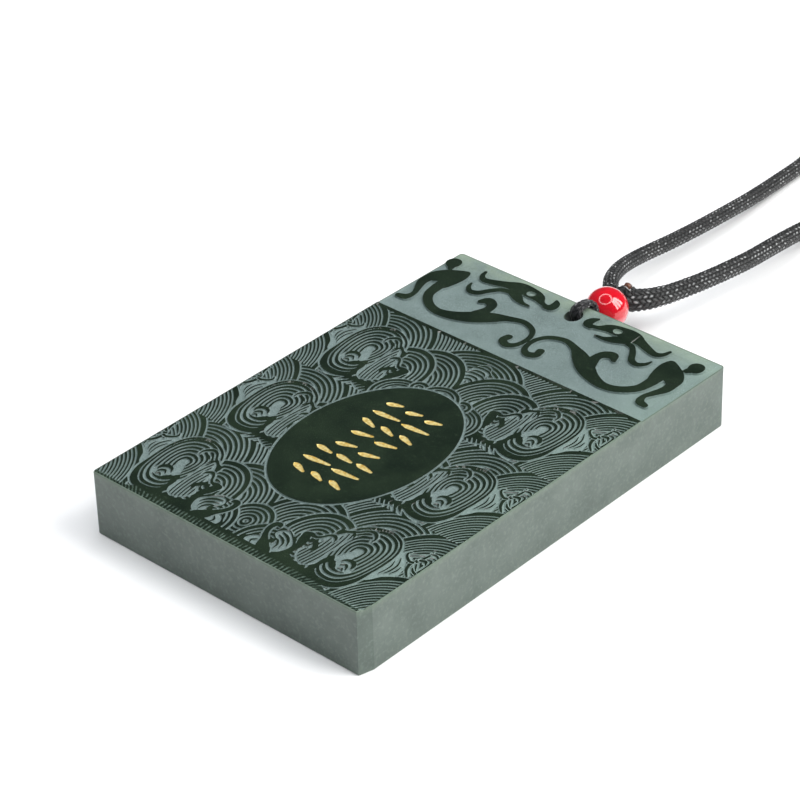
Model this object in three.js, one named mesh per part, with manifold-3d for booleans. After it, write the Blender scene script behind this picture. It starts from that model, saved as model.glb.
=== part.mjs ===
// A carved jade plaque that lies on its back, with its red bead and its black neck cord.
//
// Millimetres, +Z up. The origin is under the middle of the plaque: +Y runs along it to the end that
// holds the cord, +X across it, and the carved face looks up. The neck cord is one length: it leaves
// the knot behind the bead, runs along the table to a wound coil, and comes back to the knot.

import * as THREE from 'three';
import { mergeVertices } from 'three/addons/utils/BufferGeometryUtils.js';
import Module from 'manifold-3d';

const wasm = await Module();
wasm.setup();

// ---------------------------------------------------------------- driving dimensions

const PLAQUE = { width: 39, length: 60, thickness: 8.1, cornerRadius: 0.45, bevel: 0.15 };
// One corner, at +X -Y, is ground off: its reach along the end and along the side.
const GROUND_CORNER = { end: 0.9, side: 1.4 };
const FACE_Z = PLAQUE.thickness;

// The carving. Its middle line lies a little to the left of the plaque's own.
const CARVING_X = -0.45;
const CARVED_DEPTH = 0.3;
const STROKE_DEPTH = 0.15;
const BAND_FOOT_Y = 15.1;     // dragons above this line, waves below it
const WAVE_FOOT_Y = -28.9;    // a plain strip is left below the waves
const WAVE_MARGIN = 0.3;      // from the waves to the long edges and to the band
const MIDDLE_ROW_Y = -8.6;    // the middle one of three rows of waves
const ROW_PITCH = 14.73;      // one row to the next
const GROOVE = 0.34;          // width of a wave line
const OVAL = { y: -7.4, halfWidth: 8.75, halfHeight: 12.62 };

// The slanted cord hole, from the carved face to the end face.
const HOLE = { x: -0.3, faceY: 27.3, endZ: 4.2, diameter: 2.1 };

const BEAD = { x: -0.8, y: 34.5, z: 5.5, diameter: 5, bore: 2.1 };
const BORE_TO_KNOT = { x: -0.104, y: 0.982, z: 0.155 };
const KNOT = { x: -2.6, y: 38.65, z: 4.3, halfWidth: 1.2, halfHeight: 1.45 };
const KNOT_END = { x: -2.0, y: 40.3, z: 5.4, diameter: 1.2 };
const LOOP_DIAMETER = 1.3;
const LOOP_STEP = 1.6;
const CORD_DIAMETER = 2.2;
const COIL = { x: 0, y: 107, meanRadius: 12, turnsAcross: 3, layers: 2 };

const TOUCHING_GAP = 0.3;     // between pieces that touch in life
const CORD_SIDES = 8;
const MERGE_DISTANCE = 1e-4;
const ABOVE = 1;              // how far a cutter stands clear of the surface that it cuts

// ---------------------------------------------------------------- closed solids

/** A closed solid from a three.js geometry. */
function solid(geometry) {
  const bare = geometry.clone();
  bare.deleteAttribute('normal');
  bare.deleteAttribute('uv');
  const merged = mergeVertices(bare, MERGE_DISTANCE);
  const corners = [];
  for (let i = 0; i < merged.index.count; i += 3) {
    const [a, b, c] = [0, 1, 2].map((k) => merged.index.getX(i + k));
    if (a !== b && b !== c && c !== a) corners.push(a, b, c);
  }
  return new wasm.Manifold(new wasm.Mesh({
    numProp: 3,
    vertProperties: new Float32Array(merged.attributes.position.array),
    triVerts: new Uint32Array(corners),
  }));
}

/** A three.js geometry from a closed solid. */
function geometryOf(manifold) {
  const mesh = manifold.getMesh();
  const geometry = new THREE.BufferGeometry();
  geometry.setAttribute('position', new THREE.BufferAttribute(mesh.vertProperties, 3));
  geometry.setIndex(new THREE.BufferAttribute(mesh.triVerts, 1));
  geometry.computeVertexNormals();
  return geometry;
}

/** A flat outline raised from one height to another. */
function prism(shape, low, high, curveSegments = 6) {
  const geometry = new THREE.ExtrudeGeometry(shape, {
    depth: high - low,
    bevelEnabled: false,
    curveSegments,
  });
  return solid(geometry.translate(0, 0, low));
}

/** What cuts an outline into the carved face. */
function cutter(shape, depth = CARVED_DEPTH, curveSegments = 6) {
  return prism(shape, FACE_Z - depth, FACE_Z + ABOVE, curveSegments);
}

function joined(solids) {
  return wasm.Manifold.union(solids);
}

/** The same solid on the other side of the carving's middle line. */
function mirrored(manifold) {
  return manifold.mirror([1, 0, 0]);
}

// ---------------------------------------------------------------- outlines

/** A smooth closed outline through its points. */
function closedOutline(points, samples) {
  const curve = new THREE.CatmullRomCurve3(
    points.map(([x, y]) => new THREE.Vector3(x, y, 0)),
    true,
    'centripetal',
  );
  return new THREE.Shape(curve.getPoints(samples).slice(0, -1).map((p) => new THREE.Vector2(p.x, p.y)));
}

/** A smooth stroke of changing width. Each point is x, y and half the width there. */
function stroke(points, samples = 4 * points.length) {
  const middle = new THREE.CatmullRomCurve3(
    points.map(([x, y, half]) => new THREE.Vector3(x, y, half)),
    false,
    'centripetal',
  );
  const left = [];
  const right = [];
  for (let i = 0; i <= samples; i += 1) {
    const at = middle.getPoint(i / samples);
    const along = middle.getTangent(i / samples).setZ(0).normalize();
    left.push(new THREE.Vector2(at.x - along.y * at.z, at.y + along.x * at.z));
    right.unshift(new THREE.Vector2(at.x + along.y * at.z, at.y - along.x * at.z));
  }
  return new THREE.Shape([...left, ...right]);
}

function ellipse(x, y, halfWidth, halfHeight) {
  return new THREE.Shape().absellipse(x, y, halfWidth, halfHeight, 0, 2 * Math.PI);
}

function ellipseRing(x, y, halfWidth, halfHeight, width) {
  const ring = ellipse(x, y, halfWidth + width / 2, halfHeight + width / 2);
  ring.holes.push(ellipse(x, y, halfWidth - width / 2, halfHeight - width / 2));
  return ring;
}

function rectangle(left, right, foot, top) {
  return new THREE.Shape([
    new THREE.Vector2(left, foot),
    new THREE.Vector2(right, foot),
    new THREE.Vector2(right, top),
    new THREE.Vector2(left, top),
  ]);
}

// ---------------------------------------------------------------- the dragon band

// Half of the band: x from the carving's middle line, y on the face, and half the width there.
const LOWER_DRAGON = {
  tail: [
    [2.36, 18.95, 0.5], [2.45, 18.05, 0.5], [1.5, 17.6, 0.45], [0.6, 18.3, 0.36],
    [0.36, 20.1, 0.34], [1.15, 21.75, 0.34], [3.0, 22.55, 0.36], [4.9, 21.95, 0.5],
    [6.5, 20.95, 0.95], [8.2, 19.7, 1.1], [10.1, 18.55, 0.82], [12.2, 18.0, 0.58],
    [14.1, 18.6, 0.56], [15.5, 20.1, 0.62], [15.85, 22.1, 0.75],
  ],
  haunch: [
    [15.15, 26.9], [14.5, 26.0], [14.45, 24.6], [14.9, 22.6], [15.5, 21.8], [16.5, 22.2],
    [16.7, 23.1], [17.4, 22.6], [18.5, 22.6], [18.6, 23.9], [18.05, 25.0], [17.1, 25.9],
  ],
  leg: [
    [17.95, 23.2, 0.7], [18.0, 21.8, 0.62], [17.5, 20.5, 0.45], [17.0, 19.2, 0.36],
    [17.25, 18.1, 0.5], [18.2, 17.8, 0.36],
  ],
  horn: [
    [8.3, 20.2, 0.9], [8.0, 21.9, 0.6], [8.3, 23.0, 0.62], [9.2, 23.45, 0.62], [9.9, 22.75, 0.3],
  ],
  head: [17.95, 27.35, 0.92, 1.02],
  neck: [[17.6, 26.5, 0.5], [17.2, 25.85, 0.2], [16.9, 25.4, 0.3]],
};

const UPPER_DRAGON = {
  snout: [[3.1, 28.4, 0.2], [2.7, 27.75, 0.5], [2.7, 27.0, 0.58], [3.4, 26.6, 0.3]],
  body: [
    [3.2, 26.75, 0.3], [4.2, 27.05, 0.34], [5.3, 27.75, 0.75], [6.8, 27.95, 1.0], [8.4, 27.95, 1.05],
    [9.8, 27.65, 0.62], [11.2, 27.1, 0.5], [12.6, 26.7, 0.4], [13.4, 27.2, 0.32], [13.65, 28.1, 0.22],
  ],
  belly: [[4.9, 25.55, 0.12], [6.1, 25.65, 0.3], [7.2, 26.2, 0.62], [8.3, 26.9, 0.7]],
  tail: [
    [8.6, 26.6, 0.35], [9.7, 26.25, 0.34], [10.6, 25.2, 0.38], [11.3, 24.1, 0.4],
    [12.3, 23.75, 0.34], [13.05, 24.35, 0.28], [13.3, 25.15, 0.14],
  ],
  eye: [6.4, 27.8, 0.56, 0.56],
};

function lowerDragon() {
  const { tail, haunch, leg, horn, head, neck } = LOWER_DRAGON;
  return joined([
    cutter(stroke(tail, 34)),
    cutter(closedOutline(haunch, 20)),
    cutter(stroke(leg, 10)),
    cutter(stroke(horn, 9)),
    cutter(ellipse(...head)),
    cutter(stroke(neck, 4)),
  ]);
}

function upperDragon() {
  const { snout, body, belly, tail, eye } = UPPER_DRAGON;
  return joined([
    cutter(stroke(snout, 7)),
    cutter(stroke(body, 18)),
    cutter(stroke(belly, 5)),
    cutter(stroke(tail, 12)),
  ]).subtract(cutter(ellipse(...eye), CARVED_DEPTH + ABOVE, 4));
}

/** The ground that is cut away around the two pairs of dragons. */
function bandGround() {
  const half = joined([lowerDragon(), upperDragon()]);
  const dragons = joined([half, mirrored(half)]).translate(CARVING_X, 0, 0);
  const [reachX, top] = [PLAQUE.width / 2 + ABOVE, PLAQUE.length / 2 + ABOVE];
  return cutter(rectangle(-reachX, reachX, BAND_FOOT_Y, top)).subtract(dragons);
}

// ---------------------------------------------------------------- the wave field

/** Rings one inside another, as far as a shape's outline; they cover what was drawn before. */
function drawScale(drawn, { x, y, halfWidth, halfHeight }, insets, segments) {
  const cover = cutter(ellipse(x, y, halfWidth, halfHeight), CARVED_DEPTH + ABOVE, segments);
  const rings = insets.map((inset) => cutter(
    ellipseRing(x, y, halfWidth - inset, halfHeight - inset, GROOVE),
    CARVED_DEPTH,
    segments,
  ));
  return drawn.subtract(cover).add(joined(rings));
}

const FAN_INSETS = [0.2, 1.7];
const HEAD_INSETS = [0.2, 1.3, 2.7];
const EDGE_INSETS = [0.2, 1.6];
const SMALL_INSETS = [0.2, 1.6];

/** One wave of a row, right of the middle line: its fan of water, the scales at the edge, its head. */
function drawWave(drawn, rowY) {
  const fan = { x: 12.9, y: rowY + 3.1, halfWidth: 7.7, halfHeight: 7.7 };
  const upperEdge = { x: 19.6, y: rowY + 2.9, halfWidth: 5.4, halfHeight: 5.4 };
  const lowerEdge = { x: 20.4, y: rowY - 5.2, halfWidth: 6.2, halfHeight: 6.2 };
  const head = { x: 12.4, y: rowY + 0.2, halfWidth: 4.5, halfHeight: 6.0 };
  let waves = drawScale(drawn, fan, FAN_INSETS, 7);
  waves = drawScale(waves, upperEdge, EDGE_INSETS, 6);
  waves = drawScale(waves, lowerEdge, EDGE_INSETS, 6);
  return drawScale(waves, head, HEAD_INSETS, 7);
}

/** The scales on the middle line and beside it, above the oval and below it. */
function drawMiddle(drawn) {
  let waves = drawScale(drawn, { x: 0, y: 10.6, halfWidth: 5.6, halfHeight: 5.6 }, HEAD_INSETS, 7);
  for (const y of [7.6, -23.6]) {
    for (const x of [-5.2, 5.2]) {
      waves = drawScale(waves, { x, y, halfWidth: 3.9, halfHeight: 3.9 }, SMALL_INSETS, 6);
    }
  }
  return drawScale(waves, { x: 0, y: -28, halfWidth: 4.4, halfHeight: 4.4 }, HEAD_INSETS, 6);
}

/** All the wave lines, kept to the field around the oval. */
function waveGrooves() {
  let waves = joined([]);
  for (const row of [1, 0, -1]) waves = drawWave(waves, MIDDLE_ROW_Y + row * ROW_PITCH);
  waves = joined([waves, mirrored(waves)]);
  waves = drawMiddle(waves);
  const reach = PLAQUE.width / 2 - WAVE_MARGIN;
  const [left, right] = [-reach - CARVING_X, reach - CARVING_X];
  const field = cutter(rectangle(left, right, WAVE_FOOT_Y, BAND_FOOT_Y - WAVE_MARGIN));
  const oval = ellipse(0, OVAL.y, OVAL.halfWidth, OVAL.halfHeight);
  const rim = ellipseRing(0, OVAL.y, OVAL.halfWidth, OVAL.halfHeight, GROOVE);
  return waves
    .intersect(field)
    .subtract(cutter(oval, CARVED_DEPTH + ABOVE, 12))
    .add(cutter(rim, CARVED_DEPTH, 12))
    .translate(CARVING_X, 0, 0);
}

// ---------------------------------------------------------------- the gilded strokes

const STROKE_ROWS = [
  { y: 0.3, count: 3, pitch: 2.8, length: 1.7, lean: 0.35 },
  { y: -1.9, count: 2, pitch: 4.2, length: 3.4, lean: 0.08 },
  { y: -4.1, count: 3, pitch: 2.7, length: 1.9, lean: -0.3 },
  { y: -6.2, count: 2, pitch: 3.4, length: 2.4, lean: 0.25 },
  { y: -8.8, count: 2, pitch: 3.3, length: 2.2, lean: 0.3 },
  { y: -10.9, count: 3, pitch: 2.9, length: 2.1, lean: -0.1 },
  { y: -13.0, count: 2, pitch: 4.1, length: 3.3, lean: 0.1 },
  { y: -15.2, count: 3, pitch: 2.6, length: 1.7, lean: -0.35 },
];
const STROKE_HALF_WIDTH = 0.34;

/** Rows of short brush strokes that stand where an inscription would. */
function strokeCutters() {
  const cutters = [];
  for (const { y, count, pitch, length, lean } of STROKE_ROWS) {
    for (let i = 0; i < count; i += 1) {
      const x = (i - (count - 1) / 2) * pitch;
      const rise = lean * length / 2;
      cutters.push(cutter(stroke([
        [x - length / 2, y - rise, STROKE_HALF_WIDTH / 3],
        [x - length / 5, y - rise / 2, STROKE_HALF_WIDTH],
        [x + length / 2, y + rise, STROKE_HALF_WIDTH / 2],
      ], 2), STROKE_DEPTH));
    }
  }
  return joined(cutters).translate(CARVING_X, 0, 0);
}

// ---------------------------------------------------------------- the plaque

/** The plaque's outline, moved in from its edge. */
function plaqueOutline(inset) {
  const radius = PLAQUE.cornerRadius - inset;
  const [x, y] = [PLAQUE.width / 2 - PLAQUE.cornerRadius, PLAQUE.length / 2 - PLAQUE.cornerRadius];
  const quarter = Math.PI / 2;
  const { end, side } = GROUND_CORNER;
  const slant = Math.hypot(end, side);
  return new THREE.Shape()
    .absarc(x, y, radius, 0, quarter)
    .absarc(-x, y, radius, quarter, 2 * quarter)
    .absarc(-x, -y, radius, 2 * quarter, 3 * quarter)
    .lineTo(PLAQUE.width / 2 - end - inset * (slant - end) / side, -PLAQUE.length / 2 + inset)
    .lineTo(PLAQUE.width / 2 - inset, -PLAQUE.length / 2 + side + inset * (slant - side) / end);
}

function blank() {
  const { thickness, bevel } = PLAQUE;
  const geometry = new THREE.ExtrudeGeometry(plaqueOutline(bevel), {
    depth: thickness - 2 * bevel,
    bevelThickness: bevel,
    bevelSize: bevel,
    bevelSegments: 1,
    curveSegments: 4,
  });
  return solid(geometry.translate(0, 0, bevel));
}

/** The straight bore, from above the face to beyond the end face. */
function holeCutter() {
  const face = new THREE.Vector3(HOLE.x, HOLE.faceY, FACE_Z);
  const end = new THREE.Vector3(HOLE.x, PLAQUE.length / 2, HOLE.endZ);
  const along = end.clone().sub(face);
  const middle = face.clone().add(end).divideScalar(2);
  const bore = new THREE.CylinderGeometry(
    HOLE.diameter / 2,
    HOLE.diameter / 2,
    along.length() + 6 * ABOVE,
    16,
  );
  bore.applyQuaternion(new THREE.Quaternion().setFromUnitVectors(
    new THREE.Vector3(0, 1, 0),
    along.normalize(),
  ));
  return solid(bore.translate(middle.x, middle.y, middle.z));
}

function plaqueGeometry() {
  return geometryOf(blank()
    .subtract(bandGround())
    .subtract(waveGrooves())
    .subtract(strokeCutters())
    .subtract(holeCutter()));
}

// ---------------------------------------------------------------- the bead and the cords

/** The way from the plaque, through the bead, to the knot. */
function beadDirection() {
  return new THREE.Vector3(BORE_TO_KNOT.x, BORE_TO_KNOT.y, BORE_TO_KNOT.z).normalize();
}

/** A bored ball, its bore along Y. */
function beadGeometry() {
  const radius = BEAD.diameter / 2;
  const mouth = Math.asin(BEAD.bore / 2 / radius);
  const rings = 8;
  const profile = [];
  for (let i = 0; i <= rings; i += 1) {
    const angle = mouth + (Math.PI - 2 * mouth) * (i / rings);
    profile.unshift(new THREE.Vector2(radius * Math.sin(angle), radius * Math.cos(angle)));
  }
  profile.push(profile[0].clone());
  return new THREE.LatheGeometry(profile, 16);
}

/** A round cord along a smooth curve through its points. */
function cordGeometry(points, diameter, stepLength) {
  const curve = new THREE.CatmullRomCurve3(points.map((p) => new THREE.Vector3(...p)), false, 'centripetal');
  const section = new THREE.Shape();
  section.absarc(0, 0, diameter / 2, 0, 2 * Math.PI);
  return new THREE.ExtrudeGeometry(new THREE.Shape(section.getSpacedPoints(CORD_SIDES).slice(0, -1)), {
    steps: Math.ceil(curve.getLength() / stepLength),
    extrudePath: curve,
  });
}

/** The thin loop: out of the bead, over the plaque's end, down the hole, and back to the bead. */
function loopGeometry() {
  const middle = new THREE.Vector3(BEAD.x, BEAD.y, BEAD.z);
  const direction = beadDirection();
  const along = (distance) => middle.clone().addScaledVector(direction, distance).toArray();
  const knotSide = BEAD.diameter / 2 + TOUCHING_GAP;
  const plaqueSide = -BEAD.diameter / 2;
  const holeMiddle = [HOLE.x, (HOLE.faceY + PLAQUE.length / 2) / 2, (FACE_Z + HOLE.endZ) / 2];
  const over = [
    along(knotSide), along(0), along(plaqueSide),
    [-0.4, 31.35, 6.0], [-0.33, 31.0, 7.3], [-0.28, 30.6, 8.35], [-0.26, 29.9, 8.9], [-0.25, 29.0, 8.95],
    [-0.27, 28.2, 8.85], [-0.3, 27.75, 8.35], [-0.3, 27.85, 7.6], holeMiddle,
  ];
  const under = [
    [HOLE.x, 27.9, 7.25], holeMiddle, [HOLE.x, 30.2, 4.1], [-0.3, 31.1, 4.1], along(plaqueSide - 0.2),
  ];
  return geometryOf(joined([
    solid(cordGeometry(over, LOOP_DIAMETER, LOOP_STEP)),
    solid(cordGeometry(under, LOOP_DIAMETER, LOOP_STEP)),
  ]));
}

/** The knot that ties the loop to the neck cord, with its cut and melted end standing out. */
function knotGeometry() {
  const body = new THREE.SphereGeometry(1, 10, 6);
  body.scale(KNOT.halfWidth, KNOT.halfWidth, KNOT.halfHeight);
  body.translate(KNOT.x, KNOT.y, KNOT.z);
  const end = cordGeometry(
    [[KNOT.x, KNOT.y, KNOT.z], [KNOT_END.x, KNOT_END.y, KNOT_END.z]],
    KNOT_END.diameter,
    1.2,
  );
  return geometryOf(joined([solid(body), solid(end)]));
}

// The neck cord's two free stretches, each from the knot to the coil.
const FAR_ROUTE = [
  [-4.35, 39.35, 4.4], [-5.2, 40.45, 4.45], [-5.95, 41.75, 4.3], [-6.65, 43.6, 4.05],
  [-7.2, 45.6, 3.7], [-7.6, 48.2, 3.25], [-7.7, 51.2, 2.85], [-7.5, 55.0, 2.55],
  [-7.1, 59.8, 2.45], [-6.95, 65.0, 2.25], [-7.2, 71.0, 1.75], [-7.65, 77.2, 1.35],
  [-8.1, 83.0, 1.1], [-8.95, 88.2, 1.1], [-10.4, 92.6, 1.1],
];
const NEAR_ROUTE = [
  [-0.6, 38.65, 4.6], [0.05, 39.2, 4.6], [0.8, 40.15, 4.6], [1.4, 41.4, 4.58],
  [1.97, 43.2, 4.5], [2.85, 47.3, 4.35], [3.25, 51.6, 4.0], [3.4, 56.5, 3.55],
  [3.22, 62.0, 3.05], [3.1, 67.0, 2.5], [3.5, 72.5, 1.9], [5.2, 78.5, 1.35],
  [7.9, 84.5, 1.1], [10.6, 89.8, 1.2], [12.6, 94.2, 1.55],
];

/** The ring that the wound cord fills, its axis along Y. A spiral of turns drifts by one turn's width. */
function coilGeometry() {
  const halfAcross = (COIL.turnsAcross + 1) * CORD_DIAMETER / 2;
  const [inner, outer] = [COIL.meanRadius - halfAcross, COIL.meanRadius + halfAcross];
  const height = COIL.layers * CORD_DIAMETER;
  const edge = CORD_DIAMETER / 3;
  const profile = [
    [inner, 0], [outer - edge, 0], [outer, edge], [outer, height - edge],
    [outer - edge, height], [inner, height], [inner, 0],
  ];
  return new THREE.LatheGeometry(profile.map(([r, y]) => new THREE.Vector2(r, y)), 36);
}

// ---------------------------------------------------------------- the finished part

const jade = new THREE.MeshStandardMaterial({ color: 0x2c3a2e, roughness: 0.25, metalness: 0 });
const agate = new THREE.MeshStandardMaterial({ color: 0xc4101c, roughness: 0.08, metalness: 0 });
const braid = new THREE.MeshStandardMaterial({ color: 0x1b1d20, roughness: 0.6, metalness: 0 });

function named(name, geometry, material) {
  const mesh = new THREE.Mesh(geometry, material);
  mesh.name = name;
  return mesh;
}

const bead = named('bead', beadGeometry(), agate);
bead.position.set(BEAD.x, BEAD.y, BEAD.z);
bead.quaternion.setFromUnitVectors(new THREE.Vector3(0, 1, 0), beadDirection());

const coil = named('cord_coil', coilGeometry(), braid);
coil.position.set(COIL.x, COIL.y, 0);
coil.rotation.x = Math.PI / 2;

const cords = new THREE.Group();
const cordStep = 2.4 * CORD_DIAMETER;
cords.add(
  named('bail_loop', loopGeometry(), braid),
  named('cord_knot', knotGeometry(), braid),
  named('neck_cord_far', cordGeometry(FAR_ROUTE, CORD_DIAMETER, cordStep), braid),
  named('neck_cord_near', cordGeometry(NEAR_ROUTE, CORD_DIAMETER, cordStep), braid),
  coil,
);

const part = new THREE.Group();
part.add(named('plaque', plaqueGeometry(), jade), bead, cords);

export default part;
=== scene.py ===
"""A carved jade plaque on a neck cord: the look of its pieces, over the CAD frame.

Lengths are in millimetres until a mesh is made, and the axes are the CAD model's.
"""

import bpy
import numpy as np
from mathutils import Matrix, Vector
from mathutils.geometry import delaunay_2d_cdt


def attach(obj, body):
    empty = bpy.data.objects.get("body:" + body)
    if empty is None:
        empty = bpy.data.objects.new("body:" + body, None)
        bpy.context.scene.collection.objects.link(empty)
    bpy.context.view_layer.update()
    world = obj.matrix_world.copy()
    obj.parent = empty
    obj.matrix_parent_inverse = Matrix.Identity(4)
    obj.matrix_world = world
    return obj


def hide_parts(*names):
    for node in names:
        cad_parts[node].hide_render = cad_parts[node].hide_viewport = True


# ---- the plaque
WIDTH, LENGTH, THICKNESS = 39.0, 60.0, 8.1
CORNER_RADIUS = 0.45
GROUND_END, GROUND_SIDE = 0.5, 1.8
BEVEL = 0.15
BEVEL_MIDDLE = 0.045
HOLE_FACE = (-0.3, 27.3, 8.1)
HOLE_END = (-0.3, 30.0, 4.2)
HOLE_DIAMETER = 2.1
HOLE_PAST = 2.5
HOLE_TURNS = 40

# ---- the bead, the knot behind it and the loop that holds the plaque
BEAD = (-0.9, 34.3, 5.35)
BEAD_DIAMETER = 5.2
BEAD_BORE = 2.1
BEAD_LIP = 0.18
BEAD_TURNS = 96
BORE_TO_KNOT = (-0.104, 0.982, 0.155)
KNOT = (-2.6, 38.65, 4.3)
KNOT_SCALE = (0.3, 0.3, 0.7)
KNOT_CORD_DIAMETER = 1.25
KNOT_END = (-2.0, 40.3, 5.4)
KNOT_END_DIAMETER = 1.2
KNOT_END_TURNS, KNOT_END_RINGS = 24, 14
LOOP_WIDTH = 1.7

# the way of its two strands along the bead's bore, towards the knot, and their width and thickness there
LOOP_OUT, LOOP_BACK = (2.8, 0.0, -2.4), (-2.7, 0.0)
LOOP_IN_BORE = 0.72

# x, y, z, and the loop's width and thickness there as parts of LOOP_WIDTH
LOOP_OVER = [(-0.4, 31.35, 6.05, 0.95, 0.55), (-0.35, 30.9, 7.45, 1.0, 0.5), (-0.3, 30.35, 8.4, 1.0, 0.32),
             (-0.28, 29.5, 8.5, 1.0, 0.5), (-0.26, 28.64, 8.6, 1.0, 0.53), (-0.26, 28.1, 8.45, 1.0, 0.53),
             (-0.28, 27.75, 8.0, 1.0, 0.5), (-0.3, 27.85, 7.4, 0.95, 0.5), (-0.3, 28.65, 6.15, 0.9, 0.5),
             (-0.3, 30.2, 4.1, 0.85, 0.5), (-0.3, 31.1, 4.1, 0.8, 0.5)]

# ---- the neck cord: out along the far strand, round the coil, and back along the near strand
CORD_DIAMETER = 2.2
FAR_ROUTE = [(-4.35, 39.35, 4.4), (-5.2, 40.45, 4.45), (-5.95, 41.75, 4.3), (-6.65, 43.6, 4.05),
             (-7.2, 45.6, 3.7), (-7.6, 48.2, 3.25), (-7.7, 51.2, 2.85), (-7.5, 55.0, 2.55),
             (-7.1, 59.8, 2.45), (-6.95, 65.0, 2.25), (-7.2, 71.0, 1.75), (-7.65, 77.2, 1.35),
             (-8.1, 83.0, 1.1), (-8.95, 88.2, 1.1), (-10.4, 92.6, 1.1), (-11.9, 96.4, 1.1),
             (-14.2, 101.2, 1.1)]
NEAR_ROUTE = [(-0.6, 38.65, 4.6), (0.05, 39.2, 4.6), (0.8, 40.15, 4.6), (1.4, 41.4, 4.58), (1.97, 43.2, 4.5),
              (2.85, 47.3, 4.35), (3.25, 51.6, 4.0), (3.4, 56.5, 3.55), (3.22, 62.0, 3.05), (3.1, 67.0, 2.5),
              (3.5, 72.5, 1.9), (5.2, 78.5, 1.35), (7.9, 84.5, 1.1), (10.6, 89.8, 1.2), (12.6, 94.2, 1.55),
              (14.5, 100.5, 2.6)]
FAR_ROOT = (-3.6, 38.8, 4.5)
NEAR_ROOT = (-1.35, 38.5, 4.95)
FAR_WIDTH, NEAR_WIDTH = 0.89, 1.02
NEAR_ROOT_WIDTHS = (1.32, 1.3, 1.24, 1.18, 1.12, 1.06)
COIL_CENTRE = (0.0, 107.0)
COIL_OUTER = 15.3
COIL_TURNS = 6.5
COIL_INNER_TURN = 3.0
COIL_STEPS = 24

# ---- the braids: columns of stitches round the cord, a stitch's length, and how deep the seams lie
CORD_BRAID = (14, 0.64, 0.12)
LOOP_BRAID = (8, 0.6, 0.1)
COLUMN_STEPS, STITCH_STEPS = 2, 3
STITCH_LEAN = 0.45
STITCH_ROUND = 0.6

# ---- the camera
CAMERA_PLACE = (189.645, -205.218, 193.706)
CAMERA_AIM = (-11.918, 10.387, 0.0)
CAMERA_ROLL = -1.721
CAMERA_LENS = 138.436
SENSOR = 36.0

# ---- the floor and the lights: places and sizes in mm, powers in watts
FLOOR_REACH, FLOOR_STEPS = 1500, 12
WINDOW, WINDOW_STEP, WINDOW_SIZE = (620, 380, 560), (-125, 204, 0), (190, 800)
WINDOW_POWER, WINDOW_COLOUR = 3.6, (1.0, 0.99, 0.97)
OVERHEAD, OVERHEAD_SIZE = (-60, -60, 900), (900, 900)
OVERHEAD_POWER, OVERHEAD_COLOUR = 5.9, (0.97, 0.985, 1.0)
RING, RING_RADIUS, RING_BREADTH, RING_TURNS = (-8, -83, 525), 290, 60, 64
RING_STRENGTH = 4.5
SKY, SKY_STRENGTH = (0.80, 0.88, 1.0, 1), 0.12


def metres(values):
    return np.array(values, float) * 0.001


# ==== lines

def smooth(points, steps=6, closed=False):
    """More points, along a Catmull-Rom curve through some."""
    p = np.array(points, float)
    if closed:
        p = np.vstack([p[-1], p, p[:2]])
    else:
        p = np.vstack([2 * p[0] - p[1], p, 2 * p[-1] - p[-2]])
    t = np.arange(steps)[:, None] / steps
    rows = []
    for a, b, c, d in zip(p[:-3], p[1:-2], p[2:-1], p[3:]):
        rows.append(0.5 * (2 * b + (c - a) * t + (2 * a - 5 * b + 4 * c - d) * t ** 2
                           + (3 * b - 3 * c + d - a) * t ** 3))
    if not closed:
        rows.append(p[-2][None])
    return np.vstack(rows)


def even(points, step):
    """The same line with its points a step apart."""
    gaps = np.linalg.norm(np.diff(points[:, :3], axis=0), axis=1)
    run = np.concatenate([[0], np.cumsum(gaps)])
    at = np.linspace(0, run[-1], round(run[-1] / step) + 1)
    return np.column_stack([np.interp(at, run, column) for column in points.T])


def unit(vector):
    return vector / np.linalg.norm(vector)


def two_across(along):
    """Two directions across another one, the first of them level."""
    side = unit(np.cross(along, (0.0, 0.0, 1.0)))
    return side, np.cross(along, side)


def circle(side, up, turns):
    """Points all round a circle 1 mm in radius, which starts at side and turns towards up."""
    angle = 2 * np.pi * np.arange(turns)[:, None] / turns
    return np.cos(angle) * side + np.sin(angle) * up


def coil_route():
    """Three turns in on the floor, then three and a half out again on top of them."""
    points = []
    for t in np.arange(0, COIL_TURNS + 0.001, 1 / COIL_STEPS):
        radius = COIL_OUTER - CORD_DIAMETER * min(t, COIL_INNER_TURN)
        radius += CORD_DIAMETER * max(t - COIL_INNER_TURN - 0.5, 0)
        lift = CORD_DIAMETER * np.clip((t - COIL_INNER_TURN) * 2, 0, 1)
        angle = np.pi * (1 - 2 * t)
        points.append((COIL_CENTRE[0] + radius * np.cos(angle), COIL_CENTRE[1] + radius * np.sin(angle),
                       CORD_DIAMETER / 2 + lift))
    return points


def neck_points():
    """The neck cord's whole way, from inside the knot and back into it, with its width and thickness."""
    points = [(*p, FAR_WIDTH, FAR_WIDTH) for p in (FAR_ROOT, *FAR_ROUTE)]
    points += [(*p, 1, 1) for p in coil_route()]
    near = [(*p, NEAR_WIDTH, NEAR_WIDTH) for p in (NEAR_ROOT, *NEAR_ROUTE)]
    for i, width in enumerate(NEAR_ROOT_WIDTHS):
        near[i] = (*near[i][:3], width, width)
    return points + near[::-1]


def loop_points():
    """The bail loop's way: through the bead, over the plaque's edge, down its hole and back."""
    away = unit(np.array(BORE_TO_KNOT))
    out, back = ([(*(np.array(BEAD) + away * reach), LOOP_IN_BORE, LOOP_IN_BORE) for reach in reaches]
                 for reaches in (LOOP_OUT, LOOP_BACK))
    return [*out, *LOOP_OVER, *back]


# ==== meshes

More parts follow.
